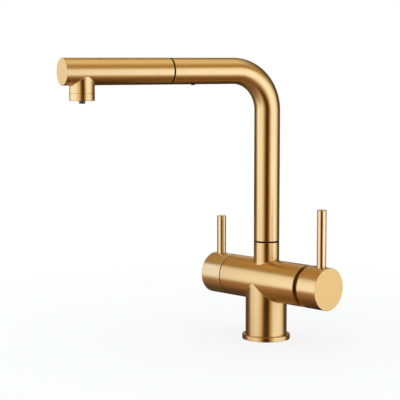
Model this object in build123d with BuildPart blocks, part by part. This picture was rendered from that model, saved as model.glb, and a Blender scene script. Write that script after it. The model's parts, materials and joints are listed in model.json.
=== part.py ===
from build123d import *
import math
import os

os.makedirs("parts", exist_ok=True)

# Two-lever kitchen mixer tap with a swivelling spout and a pull-out spray, in millimetres.
# The origin is the centre of the base ring's underside on the worktop and +Z is up.
# The front is -Y, the mixer lever is on +X and the filter lever on -X.

# Base ring and column
base_rim_w = 3.6
base_ring_h = 5.0
base_ledge_h = 3.0
base_edge_r = 0.5
gasket_w = 2.2
gasket_h = 1.6
column_inset = 0.1
column_wall = 2.8
port_face_z = 36.0

# Barrel, neck and their blends
barrel_axis_z = 65.0
body_wall = 5.3
barrel_edge = 0.3
neck_h = 19.4
neck_wall = 2.5
neck_bore_depth = 21.3
neck_foot_r = 1.6
saddle_r = 0.6
seam_edge = 0.2

# Threaded ports, fixing studs and waterways in the body
port_r = 4.5
port_depth = 10.0
port_wall = 1.2
stud_hole_r = 3.4
stud_hole_depth = 12.0
side_port_angle = 45.0
filter_outlet_angle = 135.0
drill_r = 2.0

# Mixer cartridge, from the chamber's floor outwards
cartridge_d = 35.0
mixer_block_wall = 9.7
plate_t = 6.0
disc_t = 4.0
fixed_disc_margin = 2.3
plate_port_circle_r = 6.0
plate_port_r = 2.0
plate_port_count = 3
plate_port_angle = 30.0
seal_gap = 0.5
seal_w = 1.5
seal_t = 1.6
pocket_r = 5.6
pocket_drop = 3.1
pocket_depth = 1.8
slider_margin = 0.8
slider_floor_t = 1.4
slider_plate_t = 3.0
slider_boss_h = 4.2
slider_boss_d = 12.4
ball_r = 2.8
ball_arm_r = 1.8
carrier_length = 12.2
carrier_neck_d = 21.0
carrier_neck_length = 7.2
carrier_pivot = 7.4
housing_wall = 1.7
housing_end_t = 3.0
cartridge_nut_t = 4.7
nut_thread_h = 0.9
nut_bore_gap = 2.5
nut_key_count = 4
nut_key_w = 4.0
nut_key_depth = 2.0
nut_recess = 0.5
stem_flats = 7.4
stem_rear = 6.0
stem_pin_d = 3.2
stem_pin_inset = 1.9
mixer_tilt = 20.0

# Trim dome in the mixer gap
dome_foot_inset = 0.6
dome_t = 1.5

# Handle caps and levers
mixer_gap = 5.5
mixer_cap_length = 25.6
mixer_boss_back = 5.3
mixer_lever_from_end = 10.7
mixer_lever_h = 60.7
filter_gap = 0.9
filter_cap_length = 28.1
filter_boss_forward = 1.1
filter_lever_from_end = 9.3
filter_lever_h = 42.4
cap_wall = 3.2
cap_end_wall = 4.0
cap_edge_r = 0.4
cap_boss_r = 8.5
cap_web_r = 6.0
cap_drive_end_wall = 2.6
lever_d = 10.0
lever_edge = 0.5
lever_seat_depth = 2.0
lever_thread_d = 6.0
lever_thread_end = 9.5
handle_screw_d = 5.0
handle_screw_length = 9.0
handle_socket_flats = 2.5
handle_socket_depth = 3.0

# Filter valve, from its seat outwards
filter_block_wall = 8.2
filter_seat_d = 18.0
filter_seat_depth = 14.5
filter_bore_depth = 20.3
filter_bore_wall = 3.8
filter_seal_t = 1.5
filter_seal_bore_r = 4.0
filter_disc_t = 3.0
filter_window_r = 1.7
filter_window_offset = 3.6
filter_window_count = 2
filter_closed_angle = 90.0
filter_housing_wall = 1.9
filter_hex_flats = 24.0
filter_hex_h = 5.0
filter_housing_neck_d = 16.0
filter_housing_neck_h = 12.0
filter_side_window_r = 2.2
spindle_foot_h = 5.6
spindle_d = 8.4
spindle_flat_cut = 0.8
spindle_slot_floor_t = 2.1
circlip_t = 0.8
circlip_d = 12.0
circlip_mouth = 4.0
circlip_groove_depth = 0.7
filter_ring_section_r = 0.7
filter_ring_from_mouth = 6.0

# Spout
spout_turn = -15.5
spout_d = 28.0
spout_wall = 1.2
spout_axis_z = 294.0
spout_bend_r = 43.0
swivel_ring_t = 1.6
swivel_ring_inset = 0.2
nipple_length = 15.0
nipple_spigot_length = 20.5
nipple_wall = 2.6
swivel_ring_section_r = 0.9
lower_ring_rise = 3.0
upper_ring_drop = 5.0
lock_groove_w = 4.4
lock_groove_depth = 1.5
lock_screw_d = 4.0
lock_screw_drop = 11.0
lock_socket_flats = 2.0
lock_socket_depth = 1.0

# Spray dock in the end of the spout
dock_reach = 118.5
dock_flange_t = 1.7
dock_flange_inset = 0.2
dock_length = 34.0
dock_wall = 2.5
dock_screw_back = 27.1
dock_screw_head_d = 4.4
dock_screw_shank_d = 3.2
dock_screw_stand = 0.8
dock_socket_flats = 1.6

# Spray
outlet_reach = 218.2
spray_nose = 21.8
spray_wall = 1.6
spray_end_wall = 2.5
spray_edge_r = 0.5
stub_inset = 1.05
stub_drop = 21.6
stub_wall = 1.75
stub_blend_r = 0.8
outlet_edge = 0.1
core_end_gap = 3.5
core_bore_r = 5.0
core_chamber_r = 7.9
core_flat_drop = 4.9
tail_length = 13.5
tail_lead = 1.0
nose_nipple_d = 13.6
nose_nipple_length = 10.0
hose_washer_t = 1.5
check_valve_length = 12.0
check_valve_rear = 4.0
check_valve_way_r = 0.8
check_valve_way_count = 6
hose_nut_d = 18.0
hose_nut_end_d = 15.6
hose_nut_flange_t = 4.5
hose_nut_bore_r = 5.0
ferrule_length = 12.0
ferrule_wall = 1.0
outlet_washer_t = 1.6
outlet_nipple_bore_r = 8.2
outlet_nipple_stand = 4.0
aerator_h = 7.6
aerator_lip_t = 1.5
aerator_lip_r = 9.6
aerator_edge_r = 0.6
aerator_flange_t = 2.0
aerator_depth = 9.0
aerator_hole_r = 0.65
aerator_row_counts = (12, 18)
nozzle_d = 6.3
nozzle_bore_r = 1.7
nozzle_stand = 3.0
nozzle_root = 8.0

# Spray hose
hose_d = 13.0
hose_bore_r = 4.0
hose_in_ferrule = 10.0
hose_end_rise = 4.0

# Sides of the driven forms
square_sides = 4
hexagon_sides = 6
octagon_sides = 8

# Clearances
seat_clearance = 0.1
running_clearance = 0.05
loose_clearance = 0.2
swing_clearance = 0.4
hose_clearance = 0.8
face_gap = 0.1

# Radii and levels that follow
cartridge_r = cartridge_d / 2
body_r = cartridge_r + body_wall
column_r = body_r - column_inset
cavity_r = column_r - column_wall
barrel_top_z = barrel_axis_z + body_r
neck_top_z = barrel_top_z + neck_h
base_ring_r = column_r + base_rim_w
spout_r = spout_d / 2
spout_bore_r = spout_r - spout_wall
neck_bore_r = spout_r - neck_wall
neck_floor_z = neck_top_z - neck_bore_depth
hose_r = hose_d / 2
passage_r = hose_r + hose_clearance
port_circle_r = passage_r + port_wall + port_r
gasket_r = (cavity_r + base_ring_r) / 2
barrel_axis = Axis((0, 0, barrel_axis_z), (1, 0, 0))

# Distances from the riser along the mixer side
mixer_floor = passage_r + mixer_block_wall
fixed_disc_rear = mixer_floor + plate_t
moving_disc_rear = fixed_disc_rear + disc_t
slider_rear = moving_disc_rear + disc_t
slider_front = slider_rear + slider_plate_t + slider_boss_h
carrier_rear = slider_front + swing_clearance
carrier_front = carrier_rear + carrier_length
housing_wall_rear = carrier_front + loose_clearance
housing_front = housing_wall_rear + housing_end_t
nut_front = housing_front + cartridge_nut_t
barrel_right = nut_front + nut_recess
pivot = carrier_rear + carrier_pivot
ball_centre = slider_rear + slider_floor_t + swing_clearance + ball_r
mixer_rim = barrel_right + mixer_gap
mixer_end = mixer_rim + mixer_cap_length
mixer_lever_x = mixer_end - mixer_lever_from_end
mixer_boss_rear = mixer_rim + mixer_boss_back
mixer_drive_end = mixer_end - cap_end_wall - cap_drive_end_wall
chamber_r = cartridge_r + loose_clearance
nut_r = chamber_r + nut_thread_h
housing_bore_r = cartridge_r - housing_wall
carrier_r = housing_bore_r - swing_clearance
tilt = math.radians(mixer_tilt)
stem_half = stem_flats / 2
disc_travel = (pivot - ball_centre) * tilt
fixed_disc_r = housing_bore_r - fixed_disc_margin
moving_disc_r = housing_bore_r - disc_travel - swing_clearance
slider_r = moving_disc_r - slider_margin
nut_bore_r = carrier_neck_d / 2 + nut_bore_gap
stem_pin_half = carrier_r - stem_pin_inset
dome_r = math.hypot(nut_r - dome_foot_inset, nut_front - pivot)
dome_hole_r = dome_r * math.sin(tilt) + stem_half / math.cos(tilt) + swing_clearance

# Distances from the riser along the filter side
filter_seat = passage_r + filter_block_wall
filter_housing_rear = filter_seat + filter_seal_t
filter_bore_floor = filter_seat + filter_seat_depth
barrel_left = filter_bore_floor + filter_bore_depth
filter_turning_rear = filter_housing_rear + filter_disc_t
spindle_foot_rear = filter_turning_rear + filter_disc_t
spindle_foot_front = spindle_foot_rear + spindle_foot_h
filter_hex_front = filter_bore_floor + filter_hex_h
filter_housing_front = filter_hex_front + filter_housing_neck_h
circlip_rear = filter_housing_front + loose_clearance
spindle_neck_front = circlip_rear + circlip_t
filter_rim = barrel_left + filter_gap
filter_end = filter_rim + filter_cap_length
filter_lever_x = filter_end - filter_lever_from_end
filter_boss_rear = filter_rim - filter_boss_forward
filter_drive_end = filter_end - cap_end_wall - cap_drive_end_wall
filter_seat_r = filter_seat_d / 2
filter_housing_r = filter_seat_r - seat_clearance
filter_pocket_r = filter_housing_r - filter_housing_wall
filter_bore_r = body_r - filter_bore_wall
filter_disc_r = filter_pocket_r - seat_clearance
spindle_bore_r = spindle_d / 2 + running_clearance
spindle_flats = spindle_d - spindle_flat_cut

# Handle sizes shared by both levers
cap_inner_r = body_r - cap_wall
lever_r = lever_d / 2
lever_seat = body_r - lever_seat_depth

# Spout frame: the spout leaves the riser level and points a little off the front
spout_dir = Vector(0, -1, 0).rotate(Axis.Z, spout_turn)
up = Vector(0, 0, 1)
spout_section = Plane(origin=(0, 0, spout_axis_z), x_dir=spout_dir, z_dir=spout_dir.cross(up))
spout_axis = Axis((0, 0, spout_axis_z), spout_dir)
swivel_ring_z = neck_top_z + face_gap
spout_foot_z = swivel_ring_z + swivel_ring_t
spigot_bottom_z = spout_foot_z - nipple_spigot_length
spigot_r = neck_bore_r - running_clearance
nipple_bore_r = spigot_r - nipple_wall
lock_screw_z = neck_top_z - lock_screw_drop

# Distances along the spout
dock_face = dock_reach + dock_flange_t
spray_rear = dock_face + face_gap
spray_end = outlet_reach + spray_nose
dock_bore_r = spout_bore_r - dock_wall
dock_screw_reach = dock_reach - dock_screw_back
tail_r = dock_bore_r - loose_clearance
tail_rear = spray_rear - tail_length
nose_nipple_rear = tail_rear - nose_nipple_length
nose_nipple_r = nose_nipple_d / 2
hose_nut_front = tail_rear - face_gap
hose_nut_step = nose_nipple_rear - hose_washer_t
hose_nut_rear = hose_nut_step - hose_nut_flange_t
ferrule_rear = hose_nut_rear - ferrule_length
ferrule_bore_r = hose_r + running_clearance
hose_front = ferrule_rear + hose_in_ferrule
hose_end_z = port_face_z + hose_end_rise
spray_bore_r = spout_r - spray_wall
core_r = spray_bore_r - seat_clearance
core_end = spray_end - spray_end_wall - core_end_gap
outlet_x = spout_dir.X * outlet_reach
outlet_y = spout_dir.Y * outlet_reach
stub_r = spout_r - stub_inset
stub_bottom_z = spout_axis_z - stub_drop
stub_bore_r = stub_r - stub_wall
outlet_nipple_r = stub_bore_r - seat_clearance
core_flat_z = spout_axis_z - core_flat_drop
outlet_nipple_top_z = core_flat_z - outlet_washer_t
outlet_nipple_bottom_z = stub_bottom_z - outlet_nipple_stand
aerator_top_z = stub_bottom_z - face_gap
aerator_bottom_z = aerator_top_z - aerator_h
aerator_seat_z = aerator_bottom_z + aerator_lip_t
nozzle_r = nozzle_d / 2
nozzle_top_z = spout_axis_z + nozzle_root
nozzle_bottom_z = aerator_bottom_z - nozzle_stand


def level(z, x=0.0, y=0.0):
    """Level plane at a height, facing up."""
    return Plane(origin=(x, y, z), x_dir=(1, 0, 0), z_dir=(0, 0, 1))


def at_outlet(z):
    """Level plane at a height over the spray's outlet."""
    return level(z, outlet_x, outlet_y)


def across_barrel(distance, side=1):
    """Plane across the barrel, facing outwards on the mixer side (1) or the filter side (-1)."""
    return Plane(origin=(side * distance, 0, barrel_axis_z), x_dir=(0, side, 0), z_dir=(side, 0, 0))


def barrel_section(side=1):
    """Upright plane through the barrel's axis: distance from the riser, then height above the axis."""
    return Plane(origin=(0, 0, barrel_axis_z), x_dir=(side, 0, 0), z_dir=(0, -side, 0))


def rearward(x, y, z):
    """Upright plane that faces the back of the tap."""
    return Plane(origin=(x, y, z), x_dir=(1, 0, 0), z_dir=(0, 1, 0))


def across_spout(reach):
    """Plane across the spout at a distance from the riser, facing outwards."""
    centre = spout_dir * reach + up * spout_axis_z
    return Plane(origin=centre, x_dir=up.cross(spout_dir), z_dir=spout_dir)


def bar(plane, radius, length, bore=0.0, mode=Mode.ADD):
    """Round bar or tube that grows from a plane along its normal, added or cut."""
    with BuildSketch(plane) as section:
        Circle(radius)
        if bore:
            Circle(bore, mode=Mode.SUBTRACT)
    extrude(section.sketch, amount=length, mode=mode)


def hole(plane, radius, length, core=0.0):
    """Round hole, or a groove round a core that stays, cut from a plane along its normal."""
    bar(plane, radius, length, core, Mode.SUBTRACT)


def drive(plane, flats, sides, length, mode=Mode.ADD):
    """Bar with flats, such as a square stem or the socket that takes it."""
    with BuildSketch(plane) as section:
        RegularPolygon(flats / 2, sides, major_radius=False, rotation=180 / sides)
    extrude(section.sketch, amount=length, mode=mode)


def blend_curves(shape):
    """Edges where two round forms run into each other."""
    return shape.edges().filter_by(lambda edge: edge.geom_type not in (GeomType.CIRCLE, GeomType.LINE))


def port_point(angle):
    """Centre of a port on the underside circle."""
    return port_circle_r * math.cos(math.radians(angle)), port_circle_r * math.sin(math.radians(angle))


# Base ring: the column stands on its ledge, and a gasket groove runs round its underside
with BuildPart() as base_ring:
    bar(level(0), base_ring_r, base_ring_h)
    fillet(base_ring.edges().group_by(Axis.Z)[-1], base_edge_r)
    hole(level(0), cavity_r, base_ring_h)
    hole(level(base_ledge_h), column_r + seat_clearance, base_ring_h)
    groove_half = gasket_w / 2 + seat_clearance
    hole(level(0), gasket_r + groove_half, gasket_h, gasket_r - groove_half)

with BuildPart() as base_gasket:
    bar(level(0), gasket_r + gasket_w / 2, gasket_h, gasket_r - gasket_w / 2)

# Valve body: column, barrel and neck in one piece
cold_x, cold_y = port_point(side_port_angle)
filter_out_x, filter_out_y = port_point(filter_outlet_angle)
plate_port_y = plate_port_circle_r * math.cos(math.radians(plate_port_angle))
plate_port_rise = plate_port_circle_r * math.sin(math.radians(plate_port_angle))
port_top_z = port_face_z + port_depth
with BuildPart() as valve_body:
    bar(level(base_ledge_h), column_r, barrel_axis_z - base_ledge_h)
    bar(across_barrel(-barrel_left), body_r, barrel_left + barrel_right)
    chamfer(valve_body.edges().filter_by(GeomType.CIRCLE).group_by(Axis.X)[0], barrel_edge)
    chamfer(valve_body.edges().filter_by(GeomType.CIRCLE).group_by(Axis.X)[-1], barrel_edge)
    fillet(blend_curves(valve_body), saddle_r)
    bar(level(barrel_axis_z), spout_r, neck_top_z - barrel_axis_z)
    chamfer(valve_body.edges().group_by(Axis.Z)[-1], seam_edge)
    fillet(blend_curves(valve_body).group_by(Axis.Z)[-1], neck_foot_r)
    # Cavity of the column, hose passage and the bore that takes the spout
    hole(level(base_ledge_h), cavity_r, port_face_z - base_ledge_h)
    hole(level(port_face_z), passage_r, neck_top_z - port_face_z)
    hole(level(neck_floor_z), neck_bore_r, neck_bore_depth)
    hole(rearward(0, 0, lock_screw_z), lock_screw_d / 2 + running_clearance, spout_r)
    # Chambers of the mixer cartridge and of the filter valve
    hole(across_barrel(mixer_floor), chamber_r, barrel_right - mixer_floor)
    hole(across_barrel(housing_front), nut_r, barrel_right - housing_front)
    hole(across_barrel(filter_bore_floor, -1), filter_bore_r, filter_bore_depth)
    hole(across_barrel(filter_seat, -1), filter_seat_r, filter_seat_depth)
    # Hot and cold ports, each drilled up and across to the cartridge
    for way in (-1, 1):
        hole(level(port_face_z, cold_x, way * cold_y), port_r, port_depth)
        riser_y = way * (cold_y + plate_port_y) / 2
        rise = barrel_axis_z + plate_port_rise - port_face_z
        hole(level(port_face_z, cold_x, riser_y), drill_r, rise)
        inlet = Plane(
            origin=(cold_x, way * plate_port_y, barrel_axis_z + plate_port_rise),
            x_dir=(0, 1, 0),
            z_dir=(1, 0, 0),
        )
        hole(inlet, drill_r, mixer_floor - cold_x)
        hole(level(port_face_z, 0, way * port_circle_r), stud_hole_r, stud_hole_depth)
    # Mixed outlet below the cartridge
    hole(level(port_face_z, port_circle_r), port_r, port_depth)
    mixed_z = barrel_axis_z - plate_port_circle_r
    hole(level(port_face_z, port_circle_r), drill_r, mixed_z - port_face_z)
    mixed_way = Plane(origin=(port_circle_r, 0, mixed_z), x_dir=(0, 1, 0), z_dir=(1, 0, 0))
    hole(mixed_way, drill_r, mixer_floor - port_circle_r)
    # Filter inlet to the middle of the valve seat
    hole(level(port_face_z, -port_circle_r), port_r, port_depth)
    hole(level(port_face_z, -port_circle_r), drill_r, barrel_axis_z - port_face_z)
    hole(across_barrel(port_circle_r, -1), drill_r, filter_seat - port_circle_r)
    # Filter outlet from the side of the valve
    hole(level(port_face_z, filter_out_x, filter_out_y), port_r, port_depth)
    hole(level(port_face_z, filter_out_x, filter_out_y), drill_r, barrel_axis_z - port_face_z)
    filter_way = Plane(
        origin=(filter_out_x, filter_out_y, barrel_axis_z),
        x_dir=(0, -1, 0),
        z_dir=(-1, 0, 0),
    )
    hole(filter_way, drill_r, filter_bore_floor + filter_out_x)

# Mixer cartridge: base plate with three sealed ports
seal_bore_r = plate_port_r + seal_gap
with BuildPart() as cartridge_base:
    bar(across_barrel(mixer_floor), cartridge_r, plate_t)
    with BuildSketch(across_barrel(mixer_floor)):
        with PolarLocations(plate_port_circle_r, plate_port_count, start_angle=plate_port_angle):
            Circle(plate_port_r)
    extrude(amount=plate_t, mode=Mode.SUBTRACT)
    with BuildSketch(across_barrel(mixer_floor)):
        with PolarLocations(plate_port_circle_r, plate_port_count, start_angle=plate_port_angle):
            Circle(seal_bore_r + seal_w + seat_clearance)
            Circle(seal_bore_r - seat_clearance, mode=Mode.SUBTRACT)
    extrude(amount=seal_t, mode=Mode.SUBTRACT)

with BuildPart() as cartridge_seals:
    with BuildSketch(across_barrel(mixer_floor)):
        with PolarLocations(plate_port_circle_r, plate_port_count, start_angle=plate_port_angle):
            Circle(seal_bore_r + seal_w)
            Circle(seal_bore_r, mode=Mode.SUBTRACT)
    extrude(amount=seal_t)

# Ceramic discs: the moving one has the pocket that joins the inlets to the outlet
with BuildPart() as fixed_disc:
    bar(across_barrel(fixed_disc_rear), fixed_disc_r, disc_t)
    with BuildSketch(across_barrel(fixed_disc_rear)):
        with PolarLocations(plate_port_circle_r, plate_port_count, start_angle=plate_port_angle):
            Circle(plate_port_r)
    extrude(amount=disc_t, mode=Mode.SUBTRACT)

with BuildPart() as moving_disc:
    bar(across_barrel(moving_disc_rear), moving_disc_r, disc_t)
    with BuildSketch(across_barrel(moving_disc_rear)):
        with Locations((0, -pocket_drop)):
            Circle(pocket_r)
    extrude(amount=pocket_depth, mode=Mode.SUBTRACT)

# Slider that carries the moving disc and takes the stem's ball
with BuildPart() as disc_slider:
    bar(across_barrel(slider_rear), slider_r, slider_plate_t)
    bar(across_barrel(slider_rear), slider_boss_d / 2, slider_plate_t + slider_boss_h)
    socket_depth = slider_front - slider_rear - slider_floor_t
    hole(across_barrel(slider_rear + slider_floor_t), ball_r + swing_clearance, socket_depth)

with BuildPart() as cartridge_housing:
    bar(across_barrel(fixed_disc_rear), cartridge_r, housing_front - fixed_disc_rear)
    hole(across_barrel(fixed_disc_rear), housing_bore_r, housing_wall_rear - fixed_disc_rear)
    hole(across_barrel(housing_wall_rear), carrier_neck_d / 2 + loose_clearance, housing_end_t)

# Carrier that turns in the housing, with the slot in which the stem tips
slot_half = stem_half + loose_clearance
slot_rear = carrier_pivot + loose_clearance
slot_front = carrier_length - carrier_pivot + carrier_neck_length + loose_clearance
slot_high = stem_half / math.cos(tilt) + swing_clearance
with BuildPart() as stem_carrier:
    bar(across_barrel(carrier_rear), carrier_r, carrier_length)
    bar(across_barrel(carrier_rear), carrier_neck_d / 2, carrier_length + carrier_neck_length)
    with BuildSketch(barrel_section()):
        with BuildLine():
            Polyline(
                (pivot - slot_rear, -slot_high),
                (pivot - slot_rear, slot_high + slot_rear * math.tan(tilt)),
                (pivot, slot_high),
                (pivot + slot_front, slot_high),
                (pivot + slot_front, -slot_high - slot_front * math.tan(tilt)),
                (pivot, -slot_high),
                close=True,
            )
        make_face()
    extrude(amount=slot_half, both=True, mode=Mode.SUBTRACT)
    hole(rearward(pivot, -carrier_r, barrel_axis_z), stem_pin_d / 2 + running_clearance, 2 * carrier_r)

with BuildPart() as stem_pin:
    bar(rearward(pivot, -stem_pin_half, barrel_axis_z), stem_pin_d / 2, 2 * stem_pin_half)

with BuildPart() as cartridge_stem:
    drive(
        across_barrel(pivot - stem_rear),
        stem_flats,
        square_sides,
        mixer_drive_end - loose_clearance - pivot + stem_rear,
    )
    bar(across_barrel(ball_centre), ball_arm_r, pivot - stem_rear - ball_centre)
    with BuildSketch(barrel_section()) as ball_profile:
        with Locations((ball_centre, 0)):
            Circle(ball_r)
        with Locations((ball_centre, 0)):
            Rectangle(2 * ball_r, ball_r, align=(Align.CENTER, Align.MIN), mode=Mode.INTERSECT)
    revolve(axis=barrel_axis)
    hole(
        rearward(pivot, -stem_flats, barrel_axis_z),
        stem_pin_d / 2 + running_clearance,
        2 * stem_flats,
    )

# Ring nut that holds the cartridge, with four key slots in its bore
with BuildPart() as cartridge_nut:
    bar(across_barrel(housing_front), nut_r - seat_clearance, cartridge_nut_t, nut_bore_r)
    with BuildSketch(across_barrel(nut_front - nut_key_depth)):
        with PolarLocations(nut_bore_r, nut_key_count, start_angle=180 / nut_key_count):
            Rectangle(nut_key_w, nut_key_w)
    extrude(amount=nut_key_depth, mode=Mode.SUBTRACT)

# Dome whose centre is the stem's pivot, so that the tipping cap clears it
with BuildPart() as mixer_dome:
    with BuildSketch(barrel_section()):
        with Locations((pivot, 0)):
            Circle(dome_r)
            Circle(dome_r - dome_t, mode=Mode.SUBTRACT)
        with Locations((nut_front, dome_hole_r)):
            Rectangle(dome_r, dome_r, align=(Align.MIN, Align.MIN), mode=Mode.INTERSECT)
    revolve(axis=barrel_axis)


def handle_cap(side, rim, end, boss_rear, lever_at, drive_flats, drive_sides, drive_end):
    """Hollow end cap with a boss for the drive, a web across it and the lever's seat on top."""
    lever_x = side * lever_at
    web_half = cap_inner_r + seat_clearance
    with BuildPart() as cap:
        bar(across_barrel(rim, side), body_r, end - rim)
        fillet(cap.edges().filter_by(GeomType.CIRCLE), cap_edge_r)
        hole(across_barrel(rim, side), cap_inner_r, end - cap_end_wall - rim)
        bar(across_barrel(boss_rear, side), cap_boss_r, end - cap_end_wall - boss_rear)
        bar(level(barrel_axis_z - web_half, lever_x), cap_web_r, 2 * web_half)
        drive(
            across_barrel(boss_rear, side),
            drive_flats + 2 * seat_clearance,
            drive_sides,
            drive_end - boss_rear,
            mode=Mode.SUBTRACT,
        )
        hole(level(barrel_axis_z + lever_seat, lever_x), lever_r + running_clearance, body_r)
        hole(
            level(barrel_axis_z + lever_thread_end - seat_clearance, lever_x),
            lever_thread_d / 2 + running_clearance,
            lever_seat,
        )
        hole(level(barrel_axis_z - body_r, lever_x), handle_screw_d / 2 + running_clearance, body_r)
    return cap


def handle_lever(lever_x, height):
    """Plain rod with a threaded foot."""
    with BuildPart() as lever:
        bar(level(barrel_axis_z + lever_seat, lever_x), lever_r, lever_seat_depth + height)
        chamfer(lever.edges().group_by(Axis.Z)[-1], lever_edge)
        thread_plane = level(barrel_axis_z + lever_thread_end, lever_x)
        bar(thread_plane, lever_thread_d / 2, lever_seat - lever_thread_end)
    return lever


def handle_screw(lever_x, flats):
    """Grub screw that locks the cap on its drive from below, with a hexagon socket."""
    tip_z = barrel_axis_z - flats / 2 - seat_clearance
    with BuildPart() as screw:
        bar(level(tip_z - handle_screw_length, lever_x), handle_screw_d / 2, handle_screw_length)
        drive(
            level(tip_z - handle_screw_length, lever_x),
            handle_socket_flats,
            hexagon_sides,
            handle_socket_depth,
            mode=Mode.SUBTRACT,
        )
    return screw


mixer_cap = handle_cap(
    side=1,
    rim=mixer_rim,
    end=mixer_end,
    boss_rear=mixer_boss_rear,
    lever_at=mixer_lever_x,
    drive_flats=stem_flats,
    drive_sides=square_sides,
    drive_end=mixer_drive_end,
)
mixer_lever = handle_lever(mixer_lever_x, mixer_lever_h)
mixer_screw = handle_screw(mixer_lever_x, stem_flats)
filter_cap = handle_cap(
    side=-1,
    rim=filter_rim,
    end=filter_end,
    boss_rear=filter_boss_rear,
    lever_at=filter_lever_x,
    drive_flats=spindle_flats,
    drive_sides=octagon_sides,
    drive_end=filter_drive_end,
)
filter_lever = handle_lever(-filter_lever_x, filter_lever_h)
filter_screw = handle_screw(-filter_lever_x, spindle_flats)

# Filter valve: seat seal, brass housing with side windows, two ceramic discs and the spindle
with BuildPart() as filter_seal:
    bar(across_barrel(filter_seat, -1), filter_housing_r, filter_seal_t, filter_seal_bore_r)

with BuildPart() as filter_housing:
    housing_depth = filter_bore_floor - filter_housing_rear
    bar(across_barrel(filter_housing_rear, -1), filter_housing_r, housing_depth)
    drive(across_barrel(filter_bore_floor, -1), filter_hex_flats, hexagon_sides, filter_hex_h)
    bar(across_barrel(filter_hex_front, -1), filter_housing_neck_d / 2, filter_housing_neck_h)
    hole(
        across_barrel(filter_housing_rear, -1),
        filter_pocket_r,
        spindle_foot_front + loose_clearance - filter_housing_rear,
    )
    hole(
        across_barrel(filter_housing_rear, -1),
        spindle_bore_r,
        filter_housing_front - filter_housing_rear,
    )
    window_x = -(spindle_foot_rear + spindle_foot_h / 2)
    hole(
        rearward(window_x, -filter_housing_r, barrel_axis_z),
        filter_side_window_r,
        2 * filter_housing_r,
    )


def filter_disc(rear, start_angle):
    """Ceramic disc with two windows."""
    with BuildPart() as disc:
        bar(across_barrel(rear, -1), filter_disc_r, filter_disc_t)
        with BuildSketch(across_barrel(rear, -1)):
            with PolarLocations(filter_window_offset, filter_window_count, start_angle=start_angle):
                Circle(filter_window_r)
        extrude(amount=filter_disc_t, mode=Mode.SUBTRACT)
    return disc


filter_fixed_disc = filter_disc(filter_housing_rear, 0)
filter_turning_disc = filter_disc(filter_turning_rear, filter_closed_angle)

filter_ring_at = filter_housing_front - filter_ring_from_mouth
filter_ring_r = spindle_bore_r - running_clearance - filter_ring_section_r
with BuildPart() as filter_spindle:
    bar(across_barrel(spindle_foot_rear, -1), filter_disc_r, spindle_foot_h)
    with BuildSketch(across_barrel(spindle_foot_rear, -1)):
        Rectangle(2 * filter_disc_r, 2 * filter_side_window_r)
    extrude(amount=spindle_foot_h - spindle_slot_floor_t, mode=Mode.SUBTRACT)
    bar(across_barrel(spindle_foot_front, -1), spindle_d / 2, spindle_neck_front - spindle_foot_front)
    drive(
        across_barrel(spindle_neck_front, -1),
        spindle_flats,
        octagon_sides,
        filter_drive_end - loose_clearance - spindle_neck_front,
    )
    groove_floor = filter_ring_r - filter_ring_section_r - running_clearance
    hole(
        across_barrel(filter_ring_at - filter_ring_section_r - seat_clearance, -1),
        spindle_d,
        2 * (filter_ring_section_r + seat_clearance),
        groove_floor,
    )
    hole(across_barrel(circlip_rear, -1), spindle_d, circlip_t, spindle_d / 2 - circlip_groove_depth)

with BuildPart() as filter_o_ring:
    with BuildSketch(barrel_section(-1)):
        with Locations((filter_ring_at, filter_ring_r)):
            Circle(filter_ring_section_r)
    revolve(axis=barrel_axis)

with BuildPart() as filter_circlip:
    with BuildSketch(across_barrel(circlip_rear + running_clearance, -1)):
        Circle(circlip_d / 2)
        Circle(spindle_d / 2 - circlip_groove_depth + running_clearance, mode=Mode.SUBTRACT)
        Rectangle(circlip_mouth, circlip_d, align=(Align.CENTER, Align.MAX), mode=Mode.SUBTRACT)
    extrude(amount=circlip_t - 2 * running_clearance)

# Spout: bent tube, the nipple brazed in its foot, and the ring that it turns on
with BuildPart() as spout_tube:
    with BuildLine(spout_section) as tube_route:
        FilletPolyline(
            (0, spout_foot_z - spout_axis_z),
            (0, 0),
            (dock_reach, 0),
            radius=spout_bend_r,
        )
    with BuildSketch(level(spout_foot_z)):
        Circle(spout_r)
        Circle(spout_bore_r, mode=Mode.SUBTRACT)
    sweep(path=tube_route.line)
    foot_rim = spout_tube.faces().sort_by(Axis.Z)[0].outer_wire().edges()
    mouth_rim = spout_tube.faces().sort_by(spout_axis)[-1].outer_wire().edges()
    chamfer(foot_rim + mouth_rim, seam_edge)
    dock_screw_point = spout_dir * dock_screw_reach
    dock_screw_bottom_z = spout_axis_z - spout_r - dock_screw_stand
    hole(
        level(dock_screw_bottom_z, dock_screw_point.X, dock_screw_point.Y),
        dock_screw_head_d / 2 + running_clearance,
        spout_r,
    )

swivel_ring_r = spigot_r - swivel_ring_section_r
swivel_groove_r = swivel_ring_r - swivel_ring_section_r - running_clearance
swivel_ring_levels = (spigot_bottom_z + lower_ring_rise, spout_foot_z - upper_ring_drop)
with BuildPart() as spout_nipple:
    bar(level(spout_foot_z), spout_bore_r - running_clearance, nipple_length)
    bar(level(spigot_bottom_z), spigot_r, nipple_spigot_length)
    hole(level(spigot_bottom_z), nipple_bore_r, nipple_spigot_length + nipple_length)
    for ring_z in swivel_ring_levels:
        hole(
            level(ring_z - swivel_ring_section_r - seat_clearance),
            spout_r,
            2 * (swivel_ring_section_r + seat_clearance),
            swivel_groove_r,
        )
    hole(level(lock_screw_z - lock_groove_w / 2), spout_r, lock_groove_w, spigot_r - lock_groove_depth)

with BuildPart() as swivel_o_rings:
    with BuildSketch(Plane.XZ):
        with Locations(*[(swivel_ring_r, ring_z) for ring_z in swivel_ring_levels]):
            Circle(swivel_ring_section_r)
    revolve(axis=Axis.Z)

with BuildPart() as swivel_ring:
    bar(level(swivel_ring_z), spout_r - swivel_ring_inset, swivel_ring_t, spigot_r + seat_clearance)

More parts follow.
